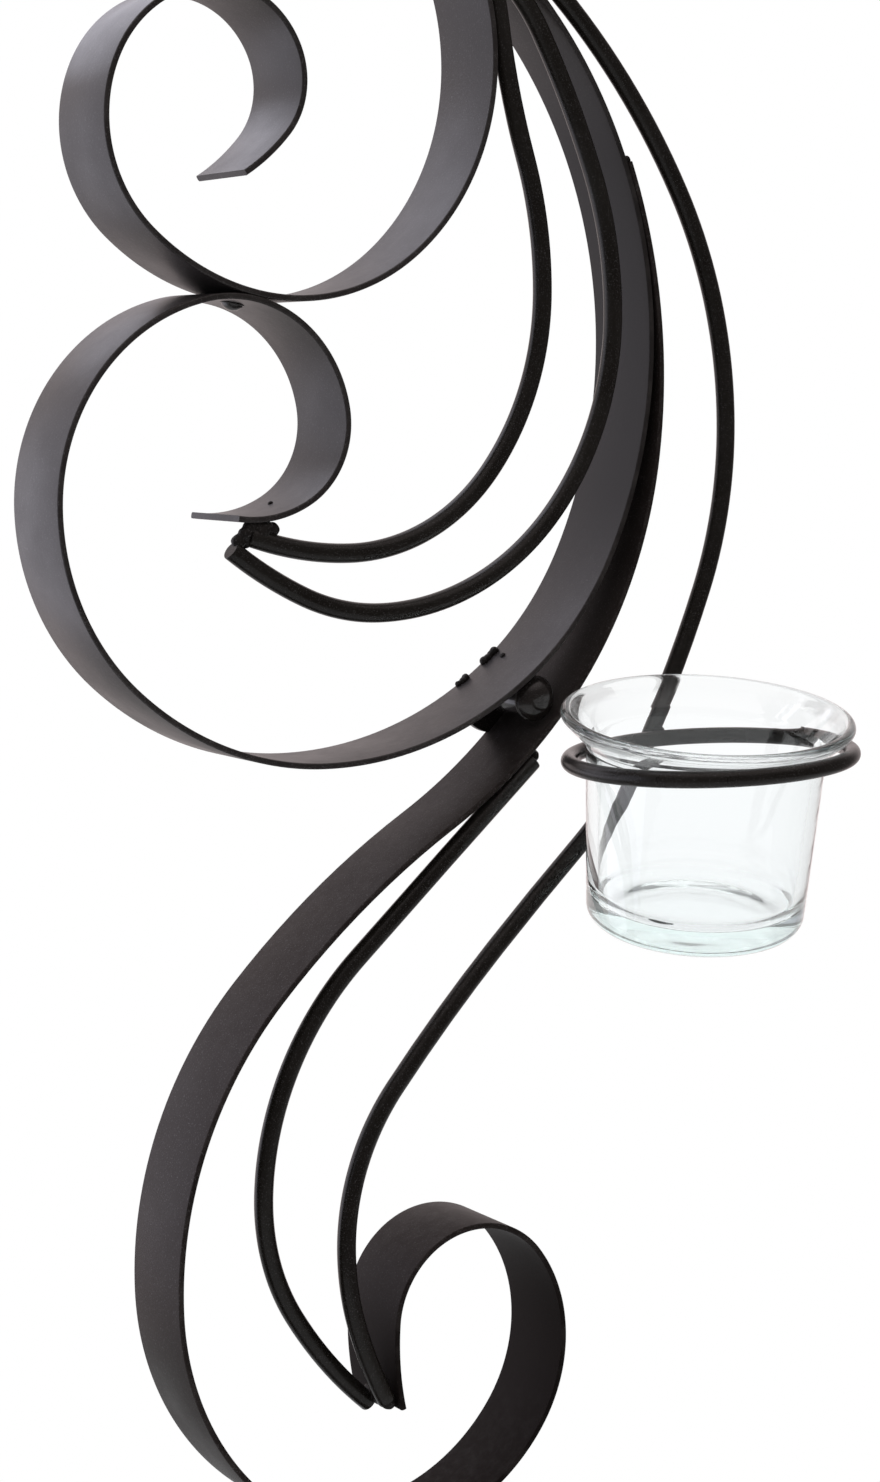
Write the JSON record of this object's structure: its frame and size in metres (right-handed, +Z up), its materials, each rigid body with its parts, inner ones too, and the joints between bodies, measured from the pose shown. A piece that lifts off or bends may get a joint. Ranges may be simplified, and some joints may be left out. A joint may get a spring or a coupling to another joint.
{
  "type": "wall tealight holder",
  "caption": "Scrolled iron wall holder with swept rods, a wire ring and a lift-out glass cup for a tealight.",
  "frame": {"origin": "where the axis of the middle stud meets the wall plane", "axes": "+X to the right as one faces the wall, +Y into the wall, +Z up; the ironwork stands out from the wall to -Y"},
  "size_m": [0.1565, 0.0772, 0.3303],
  "materials": {
    "strips": "satin powder coat",
    "rods": "satin powder coat",
    "fixings": "satin powder coat",
    "welds": "lumpy under a satin powder coat",
    "glass": "clear pressed glass, smooth"
  },
  "bodies": {
    "body": {"upper_scroll": "strips", "middle_scroll": "strips", "main_scroll": "strips", "inner_rod": "rods", "middle_rod": "rods", "outer_rod": "rods", "lower_rod": "rods", "scroll_rivet": "fixings", "wall_plate": "fixings", "stud_sleeve": "fixings", "domed_stud": "fixings", "hanging_eye": "fixings", "cup_ring": "rods", "plate_welds": "welds", "step_weld": "welds", "crown_weld": "welds", "scroll_tip_weld": "welds", "bottom_tip_weld": "welds", "lower_rod_weld": "welds", "ring_weld": "welds"},
    "cup": {"glass_cup": "glass"}
  },
  "joints": [
    {"name": "cup_lift", "type": "slide", "parent": "body", "child": "cup", "axis": [-0.0625, -0.1668, 0.984], "range_m": [0, 0.06]}
  ]
}
